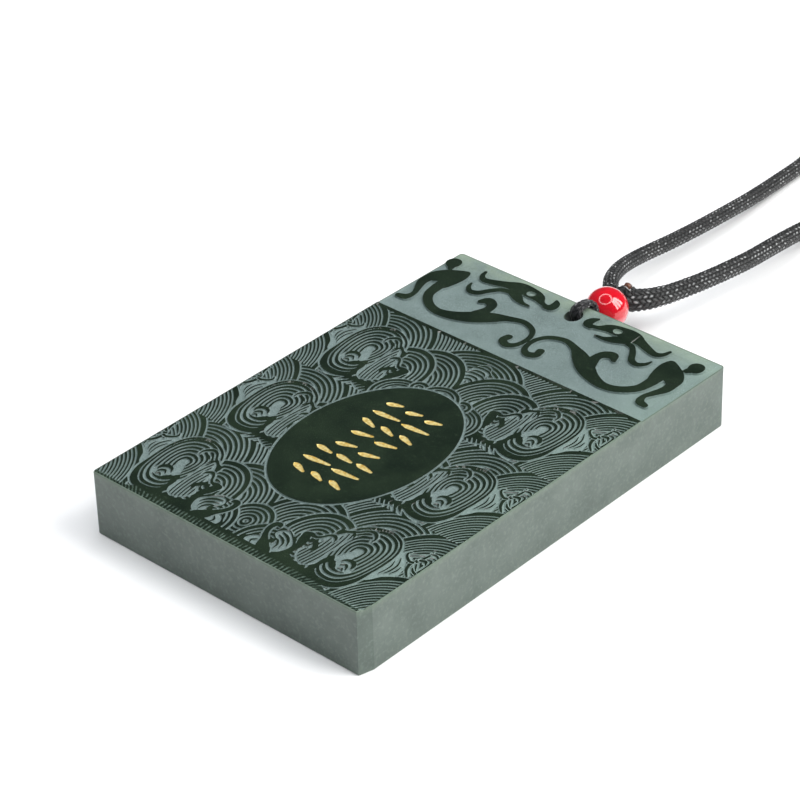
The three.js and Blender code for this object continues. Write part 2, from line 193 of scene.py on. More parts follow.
def new_mesh(name, points, faces, materials, slots=None, smooth_faces=True):
    """A mesh object from points in millimetres."""
    mesh = bpy.data.meshes.new(name)
    mesh.from_pydata(metres(points).tolist(), [], faces)
    for material in materials:
        mesh.materials.append(material)
    if slots is not None:
        mesh.polygons.foreach_set("material_index", np.array(slots, np.int32))
    mesh.polygons.foreach_set("use_smooth", np.full(len(mesh.polygons), smooth_faces))
    mesh.update()
    obj = bpy.data.objects.new(name, mesh)
    bpy.context.scene.collection.objects.link(obj)
    return obj


def tube_faces(rings, turns):
    """Quads between rings of points, with as many points in each."""
    faces = []
    for start in range(0, (rings - 1) * turns, turns):
        for step in range(turns):
            after = (step + 1) % turns
            faces.append([start + step, start + after, start + turns + after, start + turns + step])
    return faces


def closed_tube_faces(rings, turns):
    """The same quads, and a face at each end."""
    last = (rings - 1) * turns
    return tube_faces(rings, turns) + [list(range(turns))[::-1], list(range(last, last + turns))]


def frames(line):
    """Two directions across a line at each of its points, which turn no more than they have to."""
    along = np.gradient(line, axis=0)
    along /= np.linalg.norm(along, axis=1)[:, None]
    side = np.cross(along[0], (0.0, 0.0, 1.0))
    sides = []
    for direction in along:
        side = unit(side - direction * (side @ direction))
        sides.append(side)
    sides = np.array(sides)
    return sides, np.cross(along, sides)


def stitch_height(u, v):
    """How high the braid stands, from 0 to 1, at u columns round it and v stitches along it."""
    column = np.floor(u)
    odd = np.mod(column, 2)
    x = u - column
    y = np.mod(v + 0.5 * odd + STITCH_LEAN * (1 - 2 * odd) * (x - 0.5), 1)
    return (np.sin(np.pi * x) * np.sin(np.pi * y)) ** STITCH_ROUND


def braid(name, line, diameter, kind, material):
    """A braided cord along a line, with its stitches in the mesh and a UV map that counts them.

    The line's points may have a width and a thickness too, as parts of the diameter.
    """
    columns, stitch, relief = kind
    line = even(line, stitch / STITCH_STEPS)
    sides, ups = frames(line[:, :3])
    wide, thick = line[:, 3:].T if line.shape[1] > 3 else np.ones((2, len(line)))
    count = columns * COLUMN_STEPS
    u = np.arange(count) / COLUMN_STEPS
    v = np.arange(len(line)) / STITCH_STEPS
    radius = diameter / 2 - relief * (1 - stitch_height(u[None], v[:, None]))
    angle = 2 * np.pi * u / columns
    sideways = (radius * np.cos(angle) * wide[:, None])[..., None] * sides[:, None]
    upward = (radius * np.sin(angle) * thick[:, None])[..., None] * ups[:, None]
    points = (line[:, None, :3] + sideways + upward).reshape(-1, 3)
    obj = new_mesh(name, points, closed_tube_faces(len(line), count), [material])
    row = np.repeat(np.arange(len(line) - 1), count)
    step = np.tile(np.arange(count), len(line) - 1)
    corners = np.stack([np.stack([step + right, row + on], -1)
                        for right, on in ((0, 0), (1, 0), (1, 1), (0, 1))], 1).reshape(-1, 2)
    uv = np.zeros((len(obj.data.loops), 2))
    uv[:len(corners)] = corners / (COLUMN_STEPS, STITCH_STEPS)
    layer = obj.data.uv_layers.new(name="stitches")
    layer.data.foreach_set("uv", uv.ravel())
    return obj


# ==== the carving on the face

CARVING_X = -0.45
BAND_FOOT_Y = 15.1
WAVE_FOOT_Y = -28.9
FOOT_FALLS_AT = (13.5, 15.5)
MIDDLE_ROW_Y = -8.4
ROW_PITCH = 14.73
ROW_FOOT = -6.42
OVAL_Y, OVAL_HALF_WIDTH, OVAL_HALF_HEIGHT = -7.4, 8.75, 12.62
GRID = 0.06
STRETCH = 1.35
PITCH = 0.49
LINE = 0.22
WALL = 0.06
BAND_DEPTH, WAVE_DEPTH, STROKE_DEPTH = 0.3, 0.16, 0.1
BAND_STEP = 0.3


class Carving:
    """A grid of how deep each point lies inside a groove, in mm: below 0 it lies on a ridge."""

    def __init__(self, u, v, depth):
        self.u, self.v, self.depth = u, v, depth

    def around(self, points, margin=0.7):
        """The part of the grid near some points, which may have a half width as a third value."""
        points = np.array(points)
        margin += points[:, 2].max() if points.shape[1] > 2 else 0
        low, high = points.min(0)[:2] - margin, points.max(0)[:2] + margin
        columns = slice(*np.searchsorted(self.u[0], [low[0], high[0]]))
        rows = slice(*np.searchsorted(self.v[:, 0], [low[1], high[1]]))
        return Carving(self.u[rows, columns], self.v[rows, columns], self.depth[rows, columns])

    def inside_scale(self, x, y, half_width, stretch=STRETCH):
        return half_width - np.hypot(self.u - x, (self.v - y) / stretch)

    def from_segment(self, ax, ay, bx, by):
        """Where along a straight line each point is nearest, from 0 to 1, and how far off it lies."""
        dx, dy = bx - ax, by - ay
        t = np.clip(((self.u - ax) * dx + (self.v - ay) * dy) / (dx * dx + dy * dy), 0, 1)
        return t, np.hypot(self.u - ax - t * dx, self.v - ay - t * dy)

    def inside_outline(self, points):
        line = smooth(points, closed=True)
        nearest = np.full(self.u.shape, np.inf)
        odd = np.zeros(self.u.shape, bool)
        for (ax, ay), (bx, by) in zip(line, np.roll(line, -1, axis=0)):
            nearest = np.minimum(nearest, self.from_segment(ax, ay, bx, by)[1])
            if ay != by:
                crossing = ax + (self.v - ay) * (bx - ax) / (by - ay)
                odd ^= ((ay > self.v) != (by > self.v)) & (self.u < crossing)
        return np.where(odd, nearest, -nearest)

    def inside_stroke(self, points):
        line = smooth(points, 4)
        inside = np.full(self.u.shape, -np.inf)
        for (ax, ay, a_half), (bx, by, b_half) in zip(line[:-1], line[1:]):
            t, away = self.from_segment(ax, ay, bx, by)
            inside = np.maximum(inside, a_half + (b_half - a_half) * t - away)
        return inside

    def lay(self, inside, pattern):
        """A pattern over what is there, within a shape."""
        self.depth[...] = np.where(inside >= 0, pattern, np.maximum(self.depth, inside))

    def ridge(self, inside, border=0.0):
        """A shape left standing, with a groove around it if border is more than 0."""
        if border:
            self.depth[...] = np.maximum(self.depth, np.minimum(inside + border, border / 2))
        self.depth[...] = np.minimum(self.depth, -inside)

    def sink(self, inside):
        """A shape cut away."""
        self.depth[...] = np.maximum(self.depth, inside)

    def ridge_outline(self, points):
        part = self.around(points)
        part.ridge(part.inside_outline(points))

    def ridge_strokes(self, strokes, border=0.0):
        for points in strokes:
            part = self.around(points)
            part.ridge(part.inside_stroke(points), border)

    def sink_stroke(self, points):
        part = self.around(points)
        part.sink(part.inside_stroke(points))


def nested(inside, band, pitch, line):
    """Grooves that follow an outline: one on it, then a plain band, then one for each pitch."""
    first = 1.5 * line + band
    turn = np.maximum(np.round((inside - first) / pitch), 0)
    return line / 2 - np.minimum(np.abs(inside - line / 2), np.abs(inside - first - turn * pitch))


def scale(carving, x, y, half_width, band=0.5, stretch=STRETCH, pitch=PITCH, line=LINE):
    """A wave like a fish scale: arcs one in another, the outer one broad."""
    inside = carving.inside_scale(x, y, half_width, stretch)
    carving.lay(inside, nested(inside, band, pitch, line))


# the arcs behind the head: their middle, the nearest one, and where they break and how they go on
ARCS_MIDDLE = (13.6, 1.0)
ARCS_NEAR, ARCS_BREAK, ARCS_BEYOND, ARCS_BEYOND_PITCH = 6.32, 6.5, 7.05, 0.42

# u, v and half the width of the scales that every wave has, in the middle and at the plaque's edge
HUMPS = [(4.7, -1.0, 5.25), (7.6, -0.95, 4.15)]
EDGE_SCALES = [(20.4, 0.0, 7.2), (21.8, -9.0, 7.65)]
FINE_PITCH, FINE_LINE = 0.37, 0.18

HEAD = [(13.16, 5.35), (14.71, 4.79), (15.6, 3.6), (15.95, 2.2), (16.0, 0.6), (15.85, -1.1), (15.5, -2.8),
        (14.8, -4.1), (14.0, -4.8), (13.1, -5.0), (12.1, -4.85), (11.3, -4.3), (10.8, -3.4), (10.2, -1.9),
        (9.7, 0.2), (9.7, 2.3), (10.3, 3.9), (11.6, 4.95)]
CORE = (12.65, 0.57)
HEAD_TURNS = 7
HEAD_LINE, CORE_PART = 0.24, 0.8
FALL_PITCH, FALL_LINE = 0.42, 0.13
FALL = [(9.9, 3.0), (10.7, 2.7), (10.7, 1.4), (10.6, -0.2), (10.55, -1.6), (10.75, -2.7), (10.6, -3.7),
        (10.1, -4.4), (9.3, -4.6), (8.4, -4.2), (7.75, -3.4), (7.65, -2.5), (8.1, -1.6), (8.3, -0.4),
        (8.5, 0.6), (9.0, 1.2), (9.4, 2.0)]
GROUND = [(5.9, -4.6), (6.9, -3.9), (9.2, -4.7), (10.8, -4.3), (13.0, -5.0), (13.6, -5.6), (11.5, -5.75),
          (9.5, -5.6), (7.6, -5.5), (6.2, -5.4)]
SIDE_GROUND = [(16.3, 3.9), (17.0, 3.3), (18.2, 1.7), (18.3, 0.3), (17.4, -0.8), (16.5, -2.3), (15.4, -2.0),
               (15.4, 2.0), (15.5, 3.6)]
EDGE_LOBE = [(18.5, 5.0), (17.3, 4.2), (16.8, 3.6), (17.3, 3.0), (18.0, 2.6), (18.7, 1.6), (19.6, 1.0),
             (20.3, 1.6), (20.5, 3.5), (20.0, 5.0)]
CURL = [(13.3, -1.8, 1.15), (13.25, -1.75, 1.15)]
CORE_LIGHT = [(12.6, 0.2, 0.5), (12.3, -0.8, 0.7), (11.9, -1.4, 0.5)]

# strokes left standing: u, v and half the width
CURL_ARCHES = [
    [(12.45, -1.45, 0.08), (12.75, -1.0, 0.16), (13.4, -0.85, 0.24), (13.95, -1.25, 0.24),
     (14.05, -1.8, 0.12)],
    [(12.75, -2.0, 0.06), (13.15, -1.65, 0.13), (13.55, -1.9, 0.14), (13.75, -2.35, 0.06)],
    [(12.95, -2.6, 0.06), (13.3, -2.38, 0.11), (13.6, -2.7, 0.06)],
]
EDGE_TREE = [
    [(18.65, 5.7, 0.06), (18.75, 5.0, 0.13), (18.6, 4.2, 0.15), (18.35, 3.4, 0.25), (18.15, 2.6, 0.2),
     (18.5, 1.6, 0.16), (19.3, 0.8, 0.1)],
    [(16.95, 4.25, 0.08), (16.75, 3.85, 0.12), (17.1, 3.35, 0.14), (17.75, 2.95, 0.16), (18.2, 3.0, 0.16)],
    [(18.7, 5.3, 0.1), (19.3, 5.4, 0.13), (19.8, 5.1, 0.08)],
    [(18.5, 3.75, 0.15), (19.1, 3.95, 0.17), (19.45, 3.45, 0.08)],
    [(18.75, 2.3, 0.07), (19.2, 1.85, 0.14), (19.9, 1.6, 0.15)],
]
SIDE_LINES = [
    [(16.75, 2.8, 0.05), (17.3, 1.7, 0.1), (17.35, 0.5, 0.1), (17.1, -0.2, 0.05)],
    [(16.6, 2.0, 0.05), (16.9, 1.1, 0.09), (16.85, 0.1, 0.08), (16.7, -0.6, 0.05)],
    [(17.8, 1.6, 0.05), (17.85, 0.8, 0.09), (17.6, 0.1, 0.05)],
]
TOP_FINGER = [(12.55, 2.9, 0.06), (12.55, 3.6, 0.14), (12.05, 4.2, 0.2), (11.5, 4.35, 0.18),
              (10.9, 4.0, 0.14), (10.4, 3.35, 0.13), (9.98, 3.05, 0.18), (9.5, 2.7, 0.16), (9.0, 2.3, 0.33),
              (8.85, 1.75, 0.22)]
LOW_FINGER = [(9.55, 0.5, 0.06), (9.4, 0.95, 0.15), (8.95, 1.25, 0.2), (8.45, 1.0, 0.15), (8.05, 0.3, 0.14),
              (7.6, -0.1, 0.18), (6.9, -0.1, 0.35), (6.6, -0.4, 0.5)]
TWIGS = [
    [(9.0, 2.4, 0.25), (8.55, 3.05, 0.1)],
    [(9.98, 3.1, 0.15), (10.45, 2.68, 0.15), (10.65, 2.2, 0.06)],
    [(10.95, 2.85, 0.05), (11.4, 3.2, 0.12), (12.0, 3.3, 0.12)],
    [(7.6, -0.7, 0.25), (8.2, -0.85, 0.3), (8.7, -1.5, 0.28), (8.75, -2.1, 0.08)],
    [(6.55, -0.35, 0.5), (6.9, -1.3, 0.55), (7.2, -2.3, 0.42), (7.15, -3.2, 0.38), (7.0, -4.1, 0.55),
     (7.1, -5.0, 0.9)],
    [(11.16, -1.2, 0.06), (11.3, -2.0, 0.42), (11.0, -2.8, 0.3), (10.95, -3.8, 0.25), (10.9, -4.9, 0.5)],
    [(11.5, -2.1, 0.35), (12.2, -2.45, 0.25), (12.55, -2.9, 0.15), (12.45, -3.2, 0.07)],
]


def head_lines(carving):
    """Level lines between the head's outline and its core."""
    line = smooth(HEAD, closed=True) - CORE
    turn = np.arctan2(line[:, 1], line[:, 0])
    order = np.argsort(turn)
    angle = np.arctan2(carving.v - CORE[1], carving.u - CORE[0])
    reach = np.interp(angle, turn[order], np.hypot(*line.T)[order], period=2 * np.pi)
    level = HEAD_TURNS * np.hypot(carving.u - CORE[0], carving.v - CORE[1]) / reach
    lines = (HEAD_LINE - np.abs(level - np.round(level))) * reach / HEAD_TURNS
    return np.where(level < CORE_PART, 0.1, lines)


def draw_fans(carving):
    """The arcs of water behind the head, and the humps and fans in front of them."""
    away = np.hypot(carving.u - ARCS_MIDDLE[0], (carving.v - ARCS_MIDDLE[1]) / STRETCH)
    near = np.abs(away - ARCS_NEAR - PITCH * np.round((away - ARCS_NEAR) / PITCH))
    turn = np.maximum(np.round((away - ARCS_BEYOND) / ARCS_BEYOND_PITCH), 0)
    beyond = np.abs(away - ARCS_BEYOND - ARCS_BEYOND_PITCH * turn)
    carving.depth[...] = LINE / 2 - np.where(away < ARCS_BREAK, near, beyond)
    for hump in HUMPS:
        scale(carving, *hump)
    for fan in EDGE_SCALES:
        scale(carving, *fan, pitch=FINE_PITCH, line=FINE_LINE)


def draw_edge(carving):
    """The plain ground between the head and the plaque's edge, with its little tree of foam."""
    part = carving.around(SIDE_GROUND)
    part.sink(part.inside_outline(SIDE_GROUND))
    part = carving.around(EDGE_LOBE)
    lobe = part.inside_outline(EDGE_LOBE)
    part.lay(lobe, nested(lobe, 0.15, 0.45, 0.26))
    carving.ridge_strokes(EDGE_TREE, 0.12)
    carving.ridge_strokes(SIDE_LINES)


def draw_ground(carving):
    """The dark ground under the head, with short streaks below it."""
    carving.ridge_outline(GROUND)
    for i in range(8):
        start = 6.6 + 0.62 * i
        carving.sink_stroke([(start, -5.35, 0.03), (start + 0.4, -5.9, 0.1), (start + 0.85, -6.5, 0.12)])


def draw_head(carving):
    part = carving.around(HEAD, 1.4)
    inside = part.inside_outline(HEAD)
    rim = 0.3 + 0.55 * np.clip((-part.v - 1.0) / 4, 0, 1)
    part.ridge(inside + rim, 0.24)
    part.lay(inside, head_lines(part))
    carving.sink_stroke(CURL)
    carving.sink_stroke(CORE_LIGHT)
    carving.ridge_strokes(CURL_ARCHES)


def draw_fall(carving):
    part = carving.around(FALL)
    inside = part.inside_outline(FALL)
    lean = part.u + 0.035 * (part.v + 1) ** 2
    streaks = 0.12 - np.abs(lean - FALL_PITCH * np.round(lean / FALL_PITCH))
    part.lay(inside, np.maximum(FALL_LINE - np.abs(inside - FALL_LINE), streaks))


def draw_wave(carving):
    draw_fans(carving)
    draw_edge(carving)
    draw_ground(carving)
    draw_head(carving)
    draw_fall(carving)
    carving.ridge_strokes([TOP_FINGER, LOW_FINGER], 0.2)
    carving.ridge_strokes(TWIGS)


# the top middle, in y: the big scale, the ground of the small ones in it, and each one's reach
BIG_SCALE_Y, BIG_SCALE_RADIUS = 8.4, 6.9
STACK_GROUND = [(12.1, 0.9), (11.0, 1.25), (9.9, 0.8)]
STACK = [(12.6, 0.8), (12.05, 1.25), (11.4, 0.95), (10.8, 1.3), (10.15, 0.9), (9.5, 0.6)]

# the bottom middle: its scales as u, y, half the width and the plain band, and the forms in front of them
FRONT_SCALES = [(0, -25.9, 2.9, 0.4), (4.0, -28.4, 3.6, 0.45)]
FRONT_STRETCH = 1.25
FRONT_PLAIN_Y = -28.35
LOBES = [
    [(4.78, -1.17), (4.05, -1.6), (3.9, -2.4), (4.6, -3.0), (4.78, -3.77), (5.17, -4.68), (5.75, -4.96),
     (6.4, -4.42), (6.75, -3.38), (6.6, -2.6), (5.82, -1.82)],
    [(2.96, -3.64), (2.3, -4.03), (1.95, -4.84), (2.3, -5.5), (3.15, -5.6), (3.7, -5.07), (3.6, -4.29)],
]
FOOT_GROUND = [(7.6, -4.2), (6.9, -2.6), (5.8, -1.5), (5.0, -4.0), (3.6, -4.0), (2.6, -3.6), (1.6, -4.6),
               (1.3, -5.4), (1.2, -6.4), (7.6, -6.4)]
LOBE_LINES = [
    [(6.3, -3.2, 0.06), (5.9, -2.5, 0.14), (5.2, -1.95, 0.16), (4.4, -1.7, 0.08)],
    [(5.9, -3.9, 0.05), (5.7, -3.1, 0.12), (5.1, -2.55, 0.13), (4.4, -2.3, 0.06)],
    [(5.45, -4.4, 0.05), (5.4, -3.7, 0.12), (4.95, -3.1, 0.13), (4.5, -2.95, 0.06)],
    [(3.2, -4.2, 0.06), (2.75, -4.7, 0.13), (2.9, -5.2, 0.06)],
]
FRONT_STEM = [(3.6, -1.25, 0.06), (3.3, -0.95, 0.3), (2.85, -1.1, 0.34), (2.75, -2.0, 0.3), (3.05, -2.9, 0.3),
              (3.6, -3.7, 0.4), (4.2, -4.6, 0.7), (4.8, -5.4, 0.9)]
FRONT_HOOK = [(4.3, -3.9, 0.3), (4.55, -3.3, 0.22), (4.75, -3.6, 0.1)]


def draw_top_middle(carving, row_y):
    """The big scale on the middle line, behind the humps at its sides, with small ones stacked in it."""
    y = carving.v + row_y
    inside = BIG_SCALE_RADIUS - np.hypot(carving.u, y - BIG_SCALE_Y)
    seen = inside >= 0
    for hump in HUMPS:
        seen &= carving.inside_scale(*hump) < 0
    carving.depth[...] = np.where(seen, nested(inside, 0.5, 0.6, 0.26), carving.depth)
    carving.sink_stroke([(0, height - row_y, half_width) for height, half_width in STACK_GROUND])
    for height, reach in STACK:
        v = height - row_y
        carving.ridge_strokes([[(0, v, 0.12), (reach * 0.6, v - 0.1, 0.12), (reach, v - 0.4, 0.06)]])


def draw_bottom_middle(carving, row_y):
    for u, y, half_width, band in FRONT_SCALES:
        scale(carving, u, y - row_y, half_width, band, stretch=FRONT_STRETCH)
    carving.ridge_outline(FOOT_GROUND)
    for outline in LOBES:
        part = carving.around(outline)
        inside = part.inside_outline(outline)
        part.ridge(inside + 0.15)
        part.sink(inside)
    carving.ridge_strokes(LOBE_LINES)
    carving.ridge_strokes([FRONT_STEM], 0.18)
    carving.ridge_strokes([FRONT_HOOK])
    foot = (carving.v + row_y < FRONT_PLAIN_Y) & (carving.u < FOOT_FALLS_AT[0])
    carving.depth[...] = np.where(foot, np.minimum(carving.depth, -0.1), carving.depth)


# u, y and half the width of the scales over the oval's top
CROWN = [(4.1, 1.9, 3.4), (3.1, 4.6, 1.3), (0, 4.1, 2.7)]
CROWN_BAND, CROWN_PITCH = 0.36, 0.46
OVAL_OUTER, OVAL_INNER, OVAL_RADIUS, OVAL_LINE = 1.02, 0.97, 10, 0.14


def half_waves():
    """The wave field right of the carving's middle line, as (u, y, depth)."""
    reach = WIDTH / 2 - CARVING_X
    u, y = np.meshgrid(np.arange(0, reach + 2 * GRID, GRID), np.arange(-LENGTH / 2, BAND_FOOT_Y + 0.5, GRID))
    depth = np.full(u.shape, -0.2)
    for row in (1, 0, -1):
        row_y = MIDDLE_ROW_Y + row * ROW_PITCH
        foot, top = np.searchsorted(y[:, 0], [row_y + ROW_FOOT, row_y + ROW_FOOT + ROW_PITCH])
        rows = slice(foot, top)
        carving = Carving(u[rows], y[rows] - row_y, depth[rows])
        draw_wave(carving)
        if row == 1:
            draw_top_middle(carving, row_y)
        if row == -1:
            draw_bottom_middle(carving, row_y)
    start = y[:, 0].searchsorted(0, "right")
    crown = Carving(u[start:], y[start:], depth[start:])
    for u_middle, y_middle, half_width in CROWN:
        scale(crown, u_middle, y_middle, half_width, CROWN_BAND, 1.0, CROWN_PITCH)
    field = Carving(u, y, depth)
    oval = (OVAL_OUTER - np.hypot(u / OVAL_HALF_WIDTH, (y - OVAL_Y) / OVAL_HALF_HEIGHT)) * OVAL_RADIUS
    field.lay(oval, OVAL_LINE - np.abs(oval - OVAL_LINE))
    return u, y, depth


LOWER_DRAGON = [
    [(2.36, 18.95, 0.5), (2.45, 18.05, 0.5), (1.5, 17.6, 0.45), (0.6, 18.3, 0.36), (0.36, 20.1, 0.34),
     (1.15, 21.75, 0.34), (3.0, 22.55, 0.36), (4.9, 21.95, 0.5), (6.5, 20.95, 0.95), (8.2, 19.7, 1.1),
     (10.1, 18.55, 0.82), (12.2, 18.0, 0.58), (14.1, 18.6, 0.56), (15.5, 20.1, 0.62), (15.85, 22.1, 0.75)],
    [(17.95, 23.2, 0.7), (18.0, 21.8, 0.62), (17.5, 20.5, 0.45), (17.0, 19.2, 0.36), (17.25, 18.1, 0.5),
     (18.2, 17.8, 0.36)],
    [(8.3, 20.2, 0.9), (8.0, 21.9, 0.6), (8.3, 23.0, 0.62), (9.2, 23.45, 0.62), (9.9, 22.75, 0.3)],
    [(17.6, 26.5, 0.5), (17.2, 25.85, 0.2), (16.9, 25.4, 0.3)],
    [(17.95, 27.3, 0.95), (17.95, 27.4, 0.95)],
]
HAUNCH = [(15.15, 26.9), (14.5, 26.0), (14.45, 24.6), (14.9, 22.6), (15.5, 21.8), (16.5, 22.2), (16.7, 23.1),
          (17.4, 22.6), (18.5, 22.6), (18.6, 23.9), (18.05, 25.0), (17.1, 25.9)]
UPPER_DRAGON = [
    [(3.1, 28.4, 0.2), (2.7, 27.75, 0.5), (2.7, 27.0, 0.58), (3.4, 26.6, 0.3)],
    [(3.2, 26.75, 0.3), (4.2, 27.05, 0.34), (5.3, 27.75, 0.75), (6.8, 27.95, 1.0), (8.4, 27.95, 1.05),
     (9.8, 27.65, 0.62), (11.2, 27.1, 0.5), (12.6, 26.7, 0.4), (13.4, 27.2, 0.32), (13.65, 28.1, 0.22)],
    [(4.9, 25.55, 0.12), (6.1, 25.65, 0.3), (7.2, 26.2, 0.62), (8.3, 26.9, 0.7)],
    [(8.6, 26.6, 0.35), (9.7, 26.25, 0.34), (10.6, 25.2, 0.38), (11.3, 24.1, 0.4), (12.3, 23.75, 0.34),
     (13.05, 24.35, 0.28), (13.3, 25.15, 0.14)],
]
DRAGON_EYE = [(6.4, 27.8, 0.56), (6.42, 27.8, 0.56)]

# y, how many strokes, their pitch, their length and their lean
STROKE_ROWS = [
    (0.3, 3, 2.8, 1.7, 0.35), (-1.9, 2, 4.2, 3.4, 0.08), (-4.1, 3, 2.7, 1.9, -0.3),
    (-6.2, 2, 3.4, 2.4, 0.25), (-8.8, 2, 3.3, 2.2, 0.3), (-10.9, 3, 2.9, 2.1, -0.1),
    (-13.0, 2, 4.1, 3.3, 0.1), (-15.2, 3, 2.6, 1.7, -0.35),
]
STROKE_HALF_WIDTH = 0.4


def half_band(u, y):
    """The ground around the dragons, right of the middle line."""
    band = Carving(u, y, y - BAND_FOOT_Y)
    band.ridge_strokes(LOWER_DRAGON + UPPER_DRAGON)
    band.ridge_outline(HAUNCH)
    band.sink_stroke(DRAGON_EYE)
    return band.depth


def whole_face():
    """Where the face is cut, as the grid's x and y and how far inside a groove each point lies."""
    u, y, waves = half_waves()
    below = np.arange(-LENGTH / 2 - 1.0, y[0, 0] - GRID / 2, GRID)
    above = np.arange(y[-1, 0] + GRID, LENGTH / 2 + 1.0, GRID)
    tall = np.concatenate([below, y[:, 0], above])
    u, y = np.meshgrid(np.arange(0, WIDTH / 2 - CARVING_X + 1.0, GRID), tall)
    cut = np.full(u.shape, -1.0)
    cut[len(below):len(below) + len(waves), :waves.shape[1]] = waves
    cut = np.minimum(cut, y - np.interp(u, FOOT_FALLS_AT, (WAVE_FOOT_Y, -LENGTH / 2 + BEVEL)))
    top = tall > BAND_FOOT_Y - 1
    cut[top] = np.maximum(cut[top], half_band(u[top], y[top]))
    cut = np.hstack([cut[:, :0:-1], cut])
    across = CARVING_X + np.concatenate([-u[0, :0:-1], u[0]])
    x, y = np.meshgrid(across, tall)
    rim = WIDTH / 2 - BEVEL - 0.05 - np.abs(x)
    cut = np.where(y < BAND_FOOT_Y, np.minimum(cut, rim), cut)
    draw_strokes(Carving(x - CARVING_X, y, cut))
    cut[[0, -1]] = -1
    cut[:, [0, -1]] = -1
    return across, tall, cut


def draw_strokes(carving):
    """The rows of gilded strokes in the oval."""
    for row_y, count, pitch, length, lean in STROKE_ROWS:
        for i in range(count):
            middle = (i - (count - 1) / 2) * pitch
            rise = lean * length / 2
            carving.sink_stroke([(middle - length / 2, row_y - rise, STROKE_HALF_WIDTH / 3),
                                 (middle - length / 5, row_y - rise / 2, STROKE_HALF_WIDTH),
                                 (middle + length / 2, row_y + rise, STROKE_HALF_WIDTH / 2)])


def contour_loops(values, x, y):
    """Closed lines where a grid of values passes through 0."""
    above = values > 0
    across = above[:, 1:] != above[:, :-1]
    along = above[1:] != above[:-1]
    r, c = np.nonzero(across)
    t = values[r, c] / (values[r, c] - values[r, c + 1])
    points = [np.column_stack([x[c] + t * (x[c + 1] - x[c]), y[r]])]
    r, c = np.nonzero(along)
    t = values[r, c] / (values[r, c] - values[r + 1, c])
    points.append(np.column_stack([x[c], y[r] + t * (y[r + 1] - y[r])]))
    points = np.vstack(points)
    across_id = np.full(across.shape, -1)
    across_id[across] = np.arange(across.sum())
    along_id = np.full(along.shape, -1)
    along_id[along] = across.sum() + np.arange(along.sum())
    foot, top, left, right = across_id[:-1], across_id[1:], along_id[:, :-1], along_id[:, 1:]
    sides = np.stack([foot, right, top, left], -1).reshape(-1, 4)
    count = (sides >= 0).sum(1)
    plain = sides[count == 2]
    pairs = plain[plain >= 0].reshape(-1, 2)
    saddle = count == 4
    middle = (values[:-1, :-1] + values[1:, :-1] + values[:-1, 1:] + values[1:, 1:]).reshape(-1)[saddle] > 0
    same = middle == above[:-1, :-1].reshape(-1)[saddle]
    s = sides[saddle]
    first = np.where(same[:, None], s[:, [0, 1]], s[:, [0, 3]])
    second = np.where(same[:, None], s[:, [2, 3]], s[:, [1, 2]])
    pairs = np.vstack([pairs, first, second])
    both = np.vstack([pairs, pairs[:, ::-1]])
    order = np.argsort(both[:, 0], kind='stable')
    link = both[order, 1].reshape(-1, 2).tolist()
    seen = bytearray(len(points))
    loops = []
    for start in range(len(points)):
        if seen[start]:
            continue
        loop, at, came = [start], link[start][0], start
        seen[start] = 1
        while at != start:
            seen[at] = 1
            loop.append(at)
            a, b = link[at]
            at, came = (b if a == came else a), at
        loops.append(points[loop])
    return loops


def thinned(loop, tolerance=0.008, passes=5):
    """A loop without the points that lie nearly straight between their neighbours."""
    for _ in range(passes):
        if len(loop) < 8:
            break
        before, after = np.roll(loop, 1, 0), np.roll(loop, -1, 0)
        chord = after - before
        offset = loop - before
        area = np.abs(chord[:, 0] * offset[:, 1] - chord[:, 1] * offset[:, 0])
        drop = (area / np.maximum(np.hypot(*chord.T), 1e-9) < tolerance) & (np.arange(len(loop)) % 2 == 1)
        drop[-1] = False
        if not drop.any():
            break
        loop = loop[~drop]
    return loop


# ==== the plaque

# the plaque's material slots
RIDGE, GROOVE, SIDE, GOLD = range(4)


def plaque_outline(inset, steps=6):
    """The plaque's outline moved in from its edge, with the corner that was ground away."""
    radius = CORNER_RADIUS - inset
    points = []
    for corner, (sx, sy) in enumerate(((1, 1), (-1, 1), (-1, -1))):
        for angle in np.pi / 2 * (corner + np.arange(steps + 1) / steps):
            points.append((sx * (WIDTH / 2 - CORNER_RADIUS) + radius * np.cos(angle),
                           sy * (LENGTH / 2 - CORNER_RADIUS) + radius * np.sin(angle)))
    slant = np.hypot(GROUND_END, GROUND_SIDE)
    points.append((WIDTH / 2 - GROUND_END - inset * (slant - GROUND_END) / GROUND_SIDE, inset - LENGTH / 2))
    points.append((WIDTH / 2 - inset, GROUND_SIDE - LENGTH / 2 + inset * (slant - GROUND_SIDE) / GROUND_END))
    return np.array(points)


def on_outline(points, inset):
    """Which side of the outline each point is nearest, how far along it, and how far inside all sides."""
    start = plaque_outline(inset)
    side = np.roll(start, -1, axis=0) - start
    offset = points[:, None] - start
    along = np.clip((offset * side).sum(2) / (side ** 2).sum(1), 0, 1)
    away = np.linalg.norm(offset - along[..., None] * side, axis=2)
    nearest = away.argmin(1)
    inside = (side[:, 0] * offset[..., 1] - side[:, 1] * offset[..., 0]) / np.linalg.norm(side, axis=1)
    return nearest, along[np.arange(len(points)), nearest], inside.min(1)


def sampled(values, x, y, points):
    """A grid's values at points between its own."""
    column = np.clip((points[:, 0] - x[0]) / (x[1] - x[0]), 0, len(x) - 1.001)
    row = np.clip((points[:, 1] - y[0]) / (y[1] - y[0]), 0, len(y) - 1.001)
    c, r = column.astype(int), row.astype(int)
    s, t = column - c, row - r
    low = values[r, c] * (1 - s) + values[r, c + 1] * s
    high = values[r + 1, c] * (1 - s) + values[r + 1, c + 1] * s
    return low * (1 - t) + high * t


